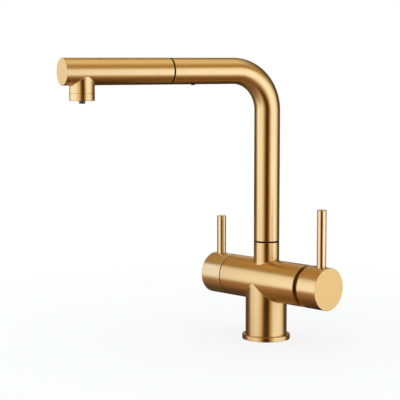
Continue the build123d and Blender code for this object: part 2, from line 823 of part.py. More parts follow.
lock_tip = spigot_r - lock_groove_depth + swing_clearance
with BuildPart() as neck_screw:
    bar(rearward(0, lock_tip, lock_screw_z), lock_screw_d / 2, spout_r - swing_clearance - lock_tip)
    drive(
        rearward(0, spout_r - swing_clearance - lock_socket_depth, lock_screw_z),
        lock_socket_flats,
        hexagon_sides,
        lock_socket_depth,
        mode=Mode.SUBTRACT,
    )

# Dock: bush with a flange that shows between the spout and the spray
with BuildPart() as dock_bush:
    bar(across_spout(dock_reach - dock_length), spout_bore_r - running_clearance, dock_length)
    bar(across_spout(dock_reach), spout_r - dock_flange_inset, dock_flange_t)
    hole(across_spout(dock_reach - dock_length), dock_bore_r, dock_length + dock_flange_t)
    hole(
        level(dock_screw_bottom_z, dock_screw_point.X, dock_screw_point.Y),
        dock_screw_shank_d / 2 + running_clearance,
        spout_r,
    )

with BuildPart() as dock_screw:
    dock_screw_plane = level(dock_screw_bottom_z, dock_screw_point.X, dock_screw_point.Y)
    head_h = dock_screw_stand + spout_wall
    bar(dock_screw_plane, dock_screw_head_d / 2, head_h)
    shank_length = spout_r + dock_screw_stand - dock_bore_r - swing_clearance
    bar(dock_screw_plane, dock_screw_shank_d / 2, shank_length)
    fillet(dock_screw.edges().group_by(Axis.Z)[0], dock_screw_stand / 2)
    drive(dock_screw_plane, dock_socket_flats, hexagon_sides, head_h, mode=Mode.SUBTRACT)

# Spray: shell with its outlet stub
with BuildPart() as spray_shell:
    bar(across_spout(spray_rear), spout_r, spray_end - spray_rear)
    fillet(spray_shell.edges().filter_by(GeomType.CIRCLE).sort_by(spout_axis)[-1], spray_edge_r)
    chamfer(spray_shell.edges().filter_by(GeomType.CIRCLE).sort_by(spout_axis)[0], seam_edge)
    bar(at_outlet(stub_bottom_z), stub_r, spout_axis_z - stub_bottom_z)
    fillet(blend_curves(spray_shell), stub_blend_r)
    chamfer(spray_shell.edges().group_by(Axis.Z)[0], outlet_edge)
    hole(across_spout(spray_rear), spray_bore_r, spray_end - spray_end_wall - spray_rear)
    hole(at_outlet(stub_bottom_z), stub_bore_r, spout_axis_z - stub_bottom_z)

# Waterway inside the shell, with the tail that enters the dock and the nipple for the hose
with BuildPart() as spray_core:
    bar(across_spout(spray_rear), core_r, core_end - spray_rear)
    bar(across_spout(tail_rear), tail_r, tail_length)
    chamfer(spray_core.edges().filter_by(GeomType.CIRCLE).sort_by(spout_axis)[0], tail_lead)
    bar(across_spout(nose_nipple_rear), nose_nipple_r, nose_nipple_length)
    hole(across_spout(nose_nipple_rear), core_bore_r, outlet_reach - nose_nipple_rear)
    hole(at_outlet(stub_bottom_z), stub_bore_r, core_flat_z - stub_bottom_z)
    hole(at_outlet(core_flat_z), core_chamber_r, spout_axis_z - core_flat_z)
    hole(at_outlet(spout_axis_z), nozzle_r + running_clearance, nozzle_root)

with BuildPart() as check_valve:
    bar(
        across_spout(nose_nipple_rear + check_valve_rear),
        core_bore_r - running_clearance,
        check_valve_length,
    )
    with BuildSketch(across_spout(nose_nipple_rear + check_valve_rear)):
        with PolarLocations(core_bore_r / 2, check_valve_way_count):
            Circle(check_valve_way_r)
    extrude(amount=check_valve_length, mode=Mode.SUBTRACT)

# Hose end: conical nut, washer and crimped ferrule
with BuildPart() as hose_nut:
    with BuildSketch(spout_section):
        with BuildLine():
            Polyline(
                (hose_nut_front, nose_nipple_r + seat_clearance),
                (hose_nut_front, hose_nut_d / 2),
                (nose_nipple_rear, hose_nut_d / 2),
                (hose_nut_rear, hose_nut_end_d / 2),
                (hose_nut_rear, hose_nut_bore_r),
                (hose_nut_step, hose_nut_bore_r),
                (hose_nut_step, nose_nipple_r + seat_clearance),
                close=True,
            )
        make_face()
    revolve(axis=spout_axis)

with BuildPart() as hose_washer:
    bar(across_spout(hose_nut_step), nose_nipple_r, hose_washer_t, hose_bore_r)

with BuildPart() as hose_ferrule:
    bar(across_spout(ferrule_rear), ferrule_bore_r + ferrule_wall, ferrule_length, ferrule_bore_r)

# Outlet: threaded nipple that clamps the waterway, aerator and the filtered water's own nozzle
with BuildPart() as outlet_washer:
    bar(at_outlet(outlet_nipple_top_z), outlet_nipple_r, outlet_washer_t, outlet_nipple_bore_r)

with BuildPart() as outlet_nipple:
    bar(
        at_outlet(outlet_nipple_bottom_z),
        outlet_nipple_r,
        outlet_nipple_top_z - outlet_nipple_bottom_z,
        outlet_nipple_bore_r,
    )

with BuildPart() as aerator_ring:
    bar(at_outlet(aerator_bottom_z), stub_r, aerator_top_z - aerator_bottom_z)
    fillet(aerator_ring.edges().group_by(Axis.Z)[0], aerator_edge_r)
    chamfer(aerator_ring.edges().group_by(Axis.Z)[-1], outlet_edge)
    hole(at_outlet(aerator_bottom_z), aerator_lip_r, aerator_lip_t)
    hole(at_outlet(aerator_seat_z), stub_bore_r, aerator_top_z)

aerator_body_r = outlet_nipple_bore_r - seat_clearance
aerator_hole_band = (aerator_body_r - nozzle_r) / (len(aerator_row_counts) + 1)
with BuildPart() as aerator_insert:
    bar(at_outlet(aerator_seat_z), outlet_nipple_r, aerator_flange_t)
    bar(at_outlet(aerator_seat_z), aerator_body_r, aerator_depth)
    hole(at_outlet(aerator_seat_z), nozzle_r + seat_clearance, aerator_depth)
    with BuildSketch(at_outlet(aerator_seat_z)):
        for row, hole_count in enumerate(aerator_row_counts, start=1):
            with PolarLocations(nozzle_r + row * aerator_hole_band, hole_count):
                Circle(aerator_hole_r)
    extrude(amount=aerator_depth, mode=Mode.SUBTRACT)

with BuildPart() as filter_nozzle:
    bar(at_outlet(nozzle_bottom_z), nozzle_r, nozzle_top_z - nozzle_bottom_z, nozzle_bore_r)

# Spray hose inside the tap, from its ferrule round the bend and down to the body's passage
with BuildPart() as pull_hose:
    with BuildLine(spout_section) as hose_route:
        FilletPolyline(
            (hose_front, 0),
            (0, 0),
            (0, hose_end_z - spout_axis_z),
            radius=spout_bend_r,
        )
    with BuildSketch(across_spout(hose_front)):
        Circle(hose_r)
        Circle(hose_bore_r, mode=Mode.SUBTRACT)
    sweep(path=hose_route.line)

# Every piece is written under its own name
pieces = {
    "base_ring": base_ring,
    "base_gasket": base_gasket,
    "valve_body": valve_body,
    "cartridge_base": cartridge_base,
    "cartridge_seals": cartridge_seals,
    "fixed_disc": fixed_disc,
    "moving_disc": moving_disc,
    "disc_slider": disc_slider,
    "cartridge_housing": cartridge_housing,
    "stem_carrier": stem_carrier,
    "stem_pin": stem_pin,
    "cartridge_stem": cartridge_stem,
    "cartridge_nut": cartridge_nut,
    "mixer_dome": mixer_dome,
    "mixer_cap": mixer_cap,
    "mixer_lever": mixer_lever,
    "mixer_screw": mixer_screw,
    "filter_cap": filter_cap,
    "filter_lever": filter_lever,
    "filter_screw": filter_screw,
    "filter_seal": filter_seal,
    "filter_housing": filter_housing,
    "filter_fixed_disc": filter_fixed_disc,
    "filter_turning_disc": filter_turning_disc,
    "filter_spindle": filter_spindle,
    "filter_o_ring": filter_o_ring,
    "filter_circlip": filter_circlip,
    "spout_tube": spout_tube,
    "spout_nipple": spout_nipple,
    "swivel_o_rings": swivel_o_rings,
    "swivel_ring": swivel_ring,
    "neck_screw": neck_screw,
    "dock_bush": dock_bush,
    "dock_screw": dock_screw,
    "spray_shell": spray_shell,
    "spray_core": spray_core,
    "check_valve": check_valve,
    "hose_nut": hose_nut,
    "hose_washer": hose_washer,
    "hose_ferrule": hose_ferrule,
    "outlet_washer": outlet_washer,
    "outlet_nipple": outlet_nipple,
    "aerator_ring": aerator_ring,
    "aerator_insert": aerator_insert,
    "filter_nozzle": filter_nozzle,
    "pull_hose": pull_hose,
}
for label, piece in pieces.items():
    piece.part.label = label
    export_step(piece.part, f"parts/{label}.step")
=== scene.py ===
import json
import math
from typing import NamedTuple

import bmesh
import bpy
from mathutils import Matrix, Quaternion, Vector


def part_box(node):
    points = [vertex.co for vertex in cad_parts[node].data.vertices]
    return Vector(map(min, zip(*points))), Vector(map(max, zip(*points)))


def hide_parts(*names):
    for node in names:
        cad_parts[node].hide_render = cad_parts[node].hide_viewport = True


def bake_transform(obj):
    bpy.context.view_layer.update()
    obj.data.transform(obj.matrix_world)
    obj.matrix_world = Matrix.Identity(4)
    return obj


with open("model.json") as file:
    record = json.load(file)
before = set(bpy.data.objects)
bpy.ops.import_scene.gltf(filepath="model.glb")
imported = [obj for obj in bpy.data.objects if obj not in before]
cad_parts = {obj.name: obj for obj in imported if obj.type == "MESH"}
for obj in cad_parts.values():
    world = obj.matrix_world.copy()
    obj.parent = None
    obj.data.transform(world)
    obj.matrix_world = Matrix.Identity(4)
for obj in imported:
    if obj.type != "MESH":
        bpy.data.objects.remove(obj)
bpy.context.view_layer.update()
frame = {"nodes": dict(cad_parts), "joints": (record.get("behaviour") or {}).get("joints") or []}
scene = bpy.context.scene


class Metal(NamedTuple):
    """Brushed metal: its gloss, how far its highlight is stretched and how deep its lines are."""

    colour: tuple
    roughness: float
    anisotropy: float
    depth: float = 1.0


class Moulding(NamedTuple):
    """Moulded plastic, rubber or ceramic: the size and relief of its grain are in metres."""

    colour: tuple
    roughness: float
    grain: float
    relief: float
    shine: float = 0.5


class Card(NamedTuple):
    """Studio card: its middle, the way it faces, its size and the steps of its glow.

    Its glow may run to its two sides only, and it may light the object too.
    """

    place: Vector
    facing: Vector
    width: float
    height: float
    steps: list
    sideways: bool = False
    lights: bool = False


# Directions, and the foot of the riser's axis
up = Vector((0, 0, 1))
right = Vector((1, 0, 0))
back = Vector((0, 1, 0))
axis_foot = Vector((0, 0, 0))

# Camera, solved from the photograph's edges: places in metres, lens and sensor in millimetres
camera_place = Vector((0.99636, -1.06051, 0.30691))
camera_forward = Vector((-0.71644, 0.68966, -0.10527))
camera_lens = 120.18
camera_sensor = 36.0
camera_near = 0.01
camera_far = 50.0

# Metals
gold = Metal((0.84, 0.585, 0.265), 0.325, 0.75)
# Levers' gold: paler than the body's, a painted highlight that stands in for their brighter highlights;
# their gloss, stretch and shallow lines are their own finish
lever_gold_with_painted_light = Metal((0.90, 0.69, 0.38), 0.30, 0.95, depth=0.10)
# Filter cap's gold: paler than the body's, painted light that stands in for the brighter light on the
# cap
filter_gold_painted_light = gold._replace(colour=(0.92, 0.71, 0.39))
brass = Metal((0.66, 0.47, 0.20), 0.28, 0.5)
steel = Metal((0.55, 0.55, 0.54), 0.25, 0.5)
oxide = Metal((0.035, 0.030, 0.027), 0.42, 0.3)

# Plastics, ceramic and rubber
black_plastic = Moulding((0.005, 0.004, 0.004), 0.55, 0.0004, 0.00002, shine=0.03)
black_nozzle = Moulding((0.010, 0.010, 0.012), 0.34, 0.0004, 0.00002, shine=0.8)
grey_plastic = Moulding((0.60, 0.60, 0.58), 0.45, 0.0006, 0.00003)
ceramic = Moulding((0.82, 0.80, 0.76), 0.22, 0.0003, 0.00001)
rubber = Moulding((0.018, 0.018, 0.018), 0.62, 0.0005, 0.00004)

# Ranges in which the values of a noise mostly lie
noise_core = (0.3, 0.7)
noise_wide = (0.25, 0.75)

# Brush lines: spacing across them in metres, detail of their noise and share of the whole
fine_line = 0.00016
fine_detail = 2.0
fine_share = 0.4
broad_line = 0.0011
broad_detail = 3.0
broad_share = 0.6

# How fast the lines change along their run: round a tube, and per metre on a flat end
line_run = 1.1
end_run = 30.0

# Brush lines at full depth: darker and paler tint, change of gloss, relief in metres and its strength
line_dark = 0.06
line_pale = 0.04
line_gloss = 0.025
line_relief = 0.00001
line_bump = 0.08

# Slow change of gloss over brushed metal: scale of its noise per metre, and how much
cloud_scale = 38.0
cloud_gloss = 0.015

# Cosines past which a face is a flat end across its axis, and past which an axis is upright
end_facing = 0.97
upright = 0.9

# Distances off the first round form's radius between which the second form's lines take over
meeting_band = (0.0002, 0.0006)

# Painted shade in seams and inner corners: reach, tint, and how open they are where fully shaded and
# where unshaded
seam_shade_reach = 0.0012
seam_shade_share = 0.22
seam_shade_open = (0.25, 0.85)
seam_shade_samples = 8

# Grain and mottling of mouldings
grain_detail = 4.0
grain_rough = 0.6
grain_gloss = 0.06
grain_bump = 0.3
mottle_scale = 90.0
mottle_detail = 3.0
mottle_dark = 0.75
mottle_pale = 1.2
dust = 0.004

# Braid of the spray hose: roughness goes from the gaps to the strands
braid_pitch = 0.0042
braid_strands = 12
fibre_scale = 4000.0
fibre_share = 0.5
braid_height = (-0.2, 1.2)
gap_colour = (0.05, 0.05, 0.055)
strand_colour = (0.42, 0.42, 0.43)
braid_roughness = (0.7, 0.42)
braid_relief = 0.0003
braid_bump = 0.6

# Spray hose: its tube, a point in the riser, and its reach past the ferrule's middle
hose_r = 0.0065
hose_sides = 32
hose_smoothness = 24
hose_order = 3
riser_point = Vector((0, 0, 0.12))
hose_reach = 0.004

# Glow of the studio cards: distance from the card's middle, and the colour there
white = (1.0, 1.0, 1.0)
deep_brown = (0.030, 0.010, 0.002)
back_brown = (0.100, 0.072, 0.058)
orange_edge = (0.62, 0.43, 0.22)
camera_steps = [
    (0.25, deep_brown),
    (0.33, (0.42, 0.22, 0.05)),
    (0.40, (0.75, 0.55, 0.30)),
    (0.46, white),
]
edge_steps = [(0.02, (0.60, 0.33, 0.08)), (0.22, (0.80, 0.58, 0.28)), (0.42, (1.0, 0.92, 0.75))]
back_steps = [(3.0, back_brown)]
left_steps = [(0.88, back_brown), (0.99, (0.50, 0.30, 0.15)), (1.10, (1.0, 0.88, 0.72))]
dark_steps = [(3.0, (0.028, 0.019, 0.016))]
warm_steps = [(3.0, (0.40, 0.195, 0.09))]
near_steps = [(3.0, (0.42, 0.205, 0.095))]
low_steps = [(3.0, (0.11, 0.065, 0.033))]
end_steps = [(1.0, (1.20, 1.22, 1.14))]
below_steps = [
    (0.40, (0.035, 0.018, 0.010)),
    (0.9, (0.17, 0.08, 0.032)),
    (1.35, (0.38, 0.23, 0.10)),
    (1.95, orange_edge),
    (2.6, white),
]
above_steps = [
    (0.3, (1.0, 0.95, 0.76)),
    (1.0, (0.50, 0.31, 0.10)),
    (2.6, (0.55, 0.38, 0.18)),
    (3.4, white),
]

# Softboxes: what they add to white, how much of it, and their distance
softbox_colour = (0.62, 0.92, 1.65)
right_level = 0.62
left_level = 0.53
softbox_distance = 1.1

# Azimuths of the cards that stand round the tap
orange_azimuth = 62
end_azimuth = 137

# Soft light from all round, and the floor: its size, its paint, and where and how much it glows
ambient_level = 0.85
floor_size = 24
floor_colour = (0.86, 0.86, 0.86)
floor_fade = (0.06, 0.6)
floor_glow = (0.80, 1.0)


def middle(node):
    """Centre of a node's box."""
    low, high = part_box(node)
    return (low + high) / 2


# Places read from the frame, and the radius of the spout's bend on the tube's axis
spout_dir = Vector(next(j["axis"] for j in frame["joints"] if j["name"] == "spray_pull"))
barrel_point = Vector((0, 0, middle("mixer_cap").z))
barrel_r = (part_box("mixer_cap")[1].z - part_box("mixer_cap")[0].z) / 2
spout_point = Vector((0, 0, middle("dock_bush").z))
spout_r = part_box("spout_tube")[1].z - spout_point.z
bend_r = 0.043
outlet_point = middle("aerator_ring")


class Nodes:
    """Adds shader nodes to a node tree."""

    def __init__(self, tree):
        self.tree = tree

    def add(self, kind, **settings):
        node = self.tree.nodes.new("ShaderNode" + kind)
        for name, value in settings.items():
            setattr(node, name, value)
        return node

    def wire(self, value, socket):
        """Links an output, or sets a plain value."""
        if isinstance(value, bpy.types.NodeSocket):
            self.tree.links.new(value, socket)
        else:
            socket.default_value = value

    def wire_all(self, values, sockets):
        for value, socket in zip(values, sockets):
            self.wire(value, socket)

    def number(self, operation, *values):
        node = self.add("Math", operation=operation)
        self.wire_all(values, node.inputs)
        return node.outputs[0]

    def vector(self, operation, *values):
        node = self.add("VectorMath", operation=operation)
        self.wire_all(values, node.inputs)
        return node.outputs["Value" if operation in ("DOT_PRODUCT", "LENGTH") else "Vector"]

    def scaled(self, vector, factor):
        node = self.add("VectorMath", operation="SCALE")
        self.wire(vector, node.inputs[0])
        self.wire(factor, node.inputs["Scale"])
        return node.outputs["Vector"]

    def joined(self, x, y, z):
        node = self.add("CombineXYZ")
        self.wire_all((x, y, z), node.inputs)
        return node.outputs[0]

    def split(self, vector):
        node = self.add("SeparateXYZ")
        self.wire(vector, node.inputs[0])
        return node.outputs

    def noise(self, vector, scale=1.0, detail=2.0, rough=0.5):
        node = self.add("TexNoise")
        self.wire(vector, node.inputs["Vector"])
        self.wire(scale, node.inputs["Scale"])
        self.wire(detail, node.inputs["Detail"])
        self.wire(rough, node.inputs["Roughness"])
        return node.outputs[0]

    def fit(self, value, span, result=(0.0, 1.0)):
        """Maps a span of values to a result, and holds the result at its ends."""
        node = self.add("MapRange")
        self.wire_all((value, *span, *result), node.inputs)
        return node.outputs[0]

    def choose(self, factor, first, second, kind="RGBA"):
        """Mixes two colours, numbers or vectors, each kind on its own sockets of the node."""
        node = self.add("Mix", data_type=kind)
        first_in, second_in, out = {"FLOAT": (2, 3, 0), "VECTOR": (4, 5, 1), "RGBA": (6, 7, 2)}[kind]
        self.wire(factor, node.inputs[0])
        for entry, socket in ((first, first_in), (second, second_in)):
            if kind == "RGBA" and isinstance(entry, tuple):
                entry = (*entry, 1.0)
            self.wire(entry, node.inputs[socket])
        return node.outputs[out]

    def looked_at(self):
        """One where the camera, metal or glass looks, nought for soft light."""
        path = self.add("LightPath").outputs
        mirrored = self.number("MAXIMUM", path["Is Glossy Ray"], path["Is Transmission Ray"])
        return self.number("MAXIMUM", path["Is Camera Ray"], mirrored)


class Surface(Nodes):
    """One material of the object, with its shader and the place and direction of each point."""

    def __init__(self, name):
        self.material = bpy.data.materials.new(name)
        self.material.use_nodes = True
        super().__init__(self.material.node_tree)
        self.shader = self.tree.nodes["Principled BSDF"]
        coords = self.add("TexCoord").outputs
        self.place = coords["Object"]
        self.normal = coords["Normal"]
        self.uv = coords["UV"]

    def bump(self, height, distance, strength):
        node = self.add("Bump")
        self.wire(height, node.inputs["Height"])
        self.wire(distance, node.inputs["Distance"])
        self.wire(strength, node.inputs["Strength"])
        self.wire(node.outputs[0], self.shader.inputs["Normal"])

    def open_share(self, reach):
        """How open the surface is: low in seams and inner corners."""
        node = self.add("AmbientOcclusion", samples=seam_shade_samples)
        self.wire(reach, node.inputs["Distance"])
        return node.outputs["AO"]

    def in_world(self, vector):
        """Direction on the object as a direction in the world."""
        node = self.add("VectorTransform", vector_type="VECTOR")
        node.convert_from = "OBJECT"
        node.convert_to = "WORLD"
        self.wire(vector, node.inputs[0])
        return node.outputs[0]

    def set(self, **values):
        """Sets the shader's inputs, named with _ for each space."""
        for name, value in values.items():
            self.wire(value, self.shader.inputs[name.replace("_", " ")])


def shaded(colour, factor, lift=0.0):
    """Colour made darker or paler, up to white."""
    return tuple(min(1.0, factor * channel + lift) for channel in colour)


def turned(nodes, point, axis):
    """Brush lines round an axis, and straight lines on the flat ends across it.

    Gives the distance across the lines, the place along them, their direction,
    and the distance from the axis.
    """
    from_point = nodes.vector("SUBTRACT", nodes.place, tuple(point))
    along = nodes.vector("DOT_PRODUCT", from_point, tuple(axis))
    outward = nodes.vector("SUBTRACT", from_point, nodes.scaled(tuple(axis), along))
    radius = nodes.vector("LENGTH", outward)
    outward = nodes.vector("NORMALIZE", outward)
    around = nodes.vector("CROSS_PRODUCT", tuple(axis), outward)
    level = right if abs(axis.z) > upright else axis.cross(up).normalized()
    facing = nodes.number("ABSOLUTE", nodes.vector("DOT_PRODUCT", nodes.normal, tuple(axis)))
    end = nodes.number("GREATER_THAN", facing, end_facing)
    end_across = nodes.vector("DOT_PRODUCT", from_point, tuple(axis.cross(level)))
    across = nodes.choose(end, nodes.number("ADD", along, radius), end_across, "FLOAT")
    outward = nodes.choose(end, outward, nodes.scaled(from_point, end_run), "VECTOR")
    around = nodes.choose(end, around, tuple(level), "VECTOR")
    return across, outward, around, radius


def bent(nodes):
    """Brush lines round the bent spout.

    Gives the distance along the tube's axis, the direction away from it, and the lines' direction.
    """
    from_point = nodes.vector("SUBTRACT", nodes.place, tuple(spout_point))
    reach = nodes.vector("DOT_PRODUCT", from_point, tuple(spout_dir))
    height = nodes.vector("DOT_PRODUCT", from_point, tuple(up))
    inward = nodes.number("SUBTRACT", nodes.number("MINIMUM", reach, bend_r), bend_r)
    above = nodes.number("MAXIMUM", nodes.number("ADD", height, bend_r), 0.0)
    turn = nodes.number("ARCTAN2", above, nodes.number("MULTIPLY", inward, -1.0))
    below_bend = nodes.number("MINIMUM", height, -bend_r)
    past_bend = nodes.number("MAXIMUM", reach, bend_r)
    along = nodes.number("ADD", below_bend, past_bend)
    along = nodes.number("ADD", along, nodes.number("MULTIPLY", turn, bend_r))
    forward = nodes.scaled(tuple(spout_dir), above)
    heading = nodes.vector("SUBTRACT", forward, nodes.scaled(tuple(up), inward))
    heading = nodes.vector("NORMALIZE", heading)
    around = nodes.vector("CROSS_PRODUCT", heading, nodes.normal)
    return along, nodes.normal, around


def brushed(nodes, across, outward, around, metal):
    """Metal with fine and broad brush lines: tint, gloss, relief and the stretched highlight, with
    painted shade in its seams and inner corners.
    """
    x, y, z = nodes.split(nodes.scaled(outward, line_run))

    def lines(spacing, detail):
        place = nodes.joined(nodes.number("DIVIDE", across, spacing), nodes.number("ADD", x, z), y)
        return nodes.noise(place, detail=detail)

    fine = nodes.number("MULTIPLY", lines(fine_line, fine_detail), fine_share)
    broad = nodes.number("MULTIPLY", lines(broad_line, broad_detail), broad_share)
    both = nodes.number("ADD", fine, broad)
    cloud = nodes.noise(nodes.place, scale=cloud_scale)

    dark = shaded(metal.colour, 1.0 - line_dark * metal.depth)
    pale = shaded(metal.colour, 1.0 + line_pale * metal.depth)
    tint = nodes.choose(nodes.fit(both, noise_core), dark, pale)
    # Painted shade: the tint turns darker where seams and inner corners are closed in
    unshaded = nodes.fit(nodes.open_share(seam_shade_reach), seam_shade_open)
    tint = nodes.choose(unshaded, shaded(metal.colour, seam_shade_share), tint)

    gloss_change = line_gloss * metal.depth
    lined_gloss = nodes.fit(both, noise_wide, (-gloss_change, gloss_change))
    clouded_gloss = nodes.fit(cloud, noise_core, (-cloud_gloss, cloud_gloss))
    gloss = nodes.number("ADD", lined_gloss, clouded_gloss)
    nodes.set(
        Base_Color=tint,
        Metallic=1.0,
        Roughness=nodes.number("ADD", gloss, metal.roughness),
        Anisotropic=metal.anisotropy,
        Tangent=nodes.in_world(nodes.vector("CROSS_PRODUCT", nodes.normal, around)),
    )
    nodes.bump(both, line_relief, line_bump * metal.depth)
    return nodes.material


def turned_metal(name, metal, point, axis):
    """Metal on a round form."""
    nodes = Surface(name)
    across, outward, around, _ = turned(nodes, point, axis)
    return brushed(nodes, across, outward, around, metal)


def crossed_metal(name, metal, first, second, first_r):
    """Metal on two round forms that meet: the first where the distance from its axis is its radius."""
    nodes = Surface(name)
    across_1, outward_1, around_1, radius_1 = turned(nodes, *first)
    across_2, outward_2, around_2, _ = turned(nodes, *second)
    off = nodes.number("ABSOLUTE", nodes.number("SUBTRACT", radius_1, first_r))
    on_second = nodes.fit(off, meeting_band)
    across = nodes.choose(on_second, across_1, across_2, "FLOAT")
    outward = nodes.choose(on_second, outward_1, outward_2, "VECTOR")
    around = nodes.choose(on_second, around_1, around_2, "VECTOR")
    return brushed(nodes, across, outward, around, metal)


def spout_metal(name, metal):
    """Metal on the bent spout."""
    nodes = Surface(name)
    return brushed(nodes, *bent(nodes), metal)


def moulded(name, moulding):
    """Moulding with fine grain, faint mottling and a little dust in the tint."""
    nodes = Surface(name)
    fine = nodes.noise(nodes.place, scale=1.0 / moulding.grain, detail=grain_detail, rough=grain_rough)
    mottle = nodes.noise(nodes.place, scale=mottle_scale, detail=mottle_detail)
    dark = shaded(moulding.colour, mottle_dark)
    pale = shaded(moulding.colour, mottle_pale, dust)
    gloss = (moulding.roughness - grain_gloss, moulding.roughness + grain_gloss)
    nodes.set(
        Base_Color=nodes.choose(nodes.fit(mottle, noise_core), dark, pale),
        Roughness=nodes.fit(fine, noise_wide, gloss),
        Specular_IOR_Level=moulding.shine,
    )
    nodes.bump(fine, moulding.relief, grain_bump)
    return nodes.material


def braided(name):
    """Nylon braid: two sets of strands that cross, with dark gaps between them."""
    nodes = Surface(name)
    x, y, z = nodes.split(nodes.place)
    out = nodes.vector("LENGTH", nodes.joined(x, y, 0.0))
    bend_z = spout_point.z - bend_r
    down = nodes.number("SUBTRACT", bend_z, nodes.number("MINIMUM", z, bend_z))
    along = nodes.number("ADD", out, down)
    pitch = nodes.number("MULTIPLY", along, 2 * math.pi / braid_pitch)
    turn = nodes.number("MULTIPLY", nodes.split(nodes.uv)[1], 2 * math.pi * braid_strands)
    first = nodes.number("SINE", nodes.number("ADD", pitch, turn))
    second = nodes.number("SINE", nodes.number("SUBTRACT", pitch, turn))
    weave = nodes.number("MAXIMUM", first, second)
    fibre = nodes.number("MULTIPLY", nodes.noise(nodes.place, fibre_scale), fibre_share)
    strand = nodes.number("ADD", weave, fibre)
    nodes.set(
        Base_Color=nodes.choose(nodes.fit(strand, braid_height), gap_colour, strand_colour),
        Roughness=nodes.fit(strand, braid_height, braid_roughness),
    )
    nodes.bump(weave, braid_relief, braid_bump)
    return nodes.material


def dress(material, *names):
    """Gives a material to CAD nodes."""
    for name in names:
        mesh = frame["nodes"][name].data
        mesh.materials.clear()
        mesh.materials.append(material)


# Gold pieces, each brushed round its own axis
barrel = (barrel_point, right)
riser = (axis_foot, up)
spout = (spout_point, spout_dir)
outlet = (outlet_point, up)
dress(crossed_metal("gold_body", gold, barrel, riser, barrel_r), "valve_body")
dress(turned_metal("gold_base", gold, *riser), "base_ring")
dress(turned_metal("gold_barrel", gold, *barrel), "mixer_cap", "mixer_dome")
# The filter cap's paler gold is painted light
dress(turned_metal("gold_filter_cap_painted_light", filter_gold_painted_light, *barrel), "filter_cap")
# The levers' paler gold is a painted highlight
for lever in ("mixer_lever", "filter_lever"):
    dress(turned_metal("gold_" + lever, lever_gold_with_painted_light, middle(lever), up), lever)
dress(spout_metal("gold_spout", gold), "spout_tube")
dress(crossed_metal("gold_spray", gold, spout, outlet, spout_r), "spray_shell")
dress(turned_metal("gold_outlet", gold, *outlet), "aerator_ring")

# Machined pieces
dress(turned_metal("brass_barrel", brass, *barrel), "cartridge_nut", "filter_housing", "filter_spindle")
dress(turned_metal("brass_riser", brass, *riser), "spout_nipple")
dress(turned_metal("brass_spray", brass, *spout), "hose_nut", "hose_ferrule")
dress(turned_metal("brass_outlet", brass, *outlet), "outlet_nipple")
dress(turned_metal("steel_barrel", steel, *barrel), "cartridge_stem", "filter_circlip")
dress(turned_metal("steel_pin", steel, middle("stem_pin"), back), "stem_pin")
dress(turned_metal("steel_neck_screw", steel, middle("neck_screw"), back), "neck_screw")
for screw in ("mixer_screw", "filter_screw"):
    dress(turned_metal("steel_" + screw, steel, middle(screw), up), screw)
dress(turned_metal("oxide_screw", oxide, middle("dock_screw"), up), "dock_screw")

# Mouldings
dress(moulded("black_plastic", black_plastic), "swivel_ring", "dock_bush")
dress(moulded("black_nozzle", black_nozzle), "filter_nozzle")
dress(
    moulded("grey_plastic", grey_plastic),
    "cartridge_base",
    "cartridge_housing",
    "stem_carrier",
    "disc_slider",
    "spray_core",
    "check_valve",
    "aerator_insert",
)
dress(
    moulded("ceramic", ceramic),
    "fixed_disc",
    "moving_disc",
    "filter_fixed_disc",
    "filter_turning_disc",
)
dress(
    moulded("rubber", rubber),
    "base_gasket",
    "cartridge_seals",
    "filter_seal",
    "filter_o_ring",
    "swivel_o_rings",
    "hose_washer",
    "outlet_washer",
)


def spline_points(points):
    """Points read from a smooth spline with these control points."""
    curve = bpy.data.curves.new("route", "CURVE")
    curve.dimensions = "3D"
    curve.resolution_u = hose_smoothness
    spline = curve.splines.new("NURBS")
    spline.points.add(len(points) - 1)
    for entry, point in zip(spline.points, points):
        entry.co = (*point, 1.0)
    spline.order_u = hose_order
    spline.use_endpoint_u = True
    holder = bpy.data.objects.new("route", curve)
    mesh = bpy.data.meshes.new_from_object(holder)
    found = [vertex.co.copy() for vertex in mesh.vertices]
    bpy.data.objects.remove(holder)
    bpy.data.curves.remove(curve)
    bpy.data.meshes.remove(mesh)
    return found


def hose_mesh(name, route, radius, sides):
    """Closed tube along a route, whose UV is the share of its length and of its turn."""
    mesh = bpy.data.meshes.new(name)
    shape = bmesh.new()
    uv_layer = shape.loops.layers.uv.new("UVMap")
    heading = (route[1] - route[0]).normalized()
    side = heading.cross(up).normalized()
    rings = []
    for index, point in enumerate(route):
        ahead = route[min(index + 1, len(route) - 1)] - route[max(index - 1, 0)]
        ahead.normalize()
        side.rotate(heading.rotation_difference(ahead))
        heading = ahead
        ring = []
        for step in range(sides):
            spin = Quaternion(heading, 2 * math.pi * step / sides)
            ring.append(shape.verts.new(point + spin @ (side * radius)))
        rings.append(ring)
    for index in range(len(rings) - 1):
        for step in range(sides):
            corners = ((index, step), (index + 1, step), (index + 1, step + 1), (index, step + 1))
            face = shape.faces.new([rings[row][turn % sides] for row, turn in corners])
            face.smooth = True
            for loop, (row, turn) in zip(face.loops, corners):
                loop[uv_layer].uv = (row / len(rings), turn / sides)
    for ring in (rings[0], rings[-1]):
        shape.faces.new(ring)
    bmesh.ops.recalc_face_normals(shape, faces=shape.faces)
    shape.to_mesh(mesh)
    shape.free()
    return mesh


# Spray hose: follows the spout below the dock and the spray at its ferrule
bend_reach = 2 * bend_r
hose_front = middle("hose_ferrule") + spout_dir * hose_reach
hose_route = [
    hose_front,
    spout_point + spout_dir * bend_reach,
    spout_point,
    spout_point - up * bend_reach,
    riser_point,
    Vector((0, 0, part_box("pull_hose")[0].z)),
]
hose_tube = hose_mesh("spray_hose", spline_points(hose_route), hose_r, hose_sides)
hose = bpy.data.objects.new("spray_hose", hose_tube)
scene.collection.objects.link(hose)
hose.data.materials.append(braided("hose_braid"))
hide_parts("pull_hose")
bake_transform(hose)


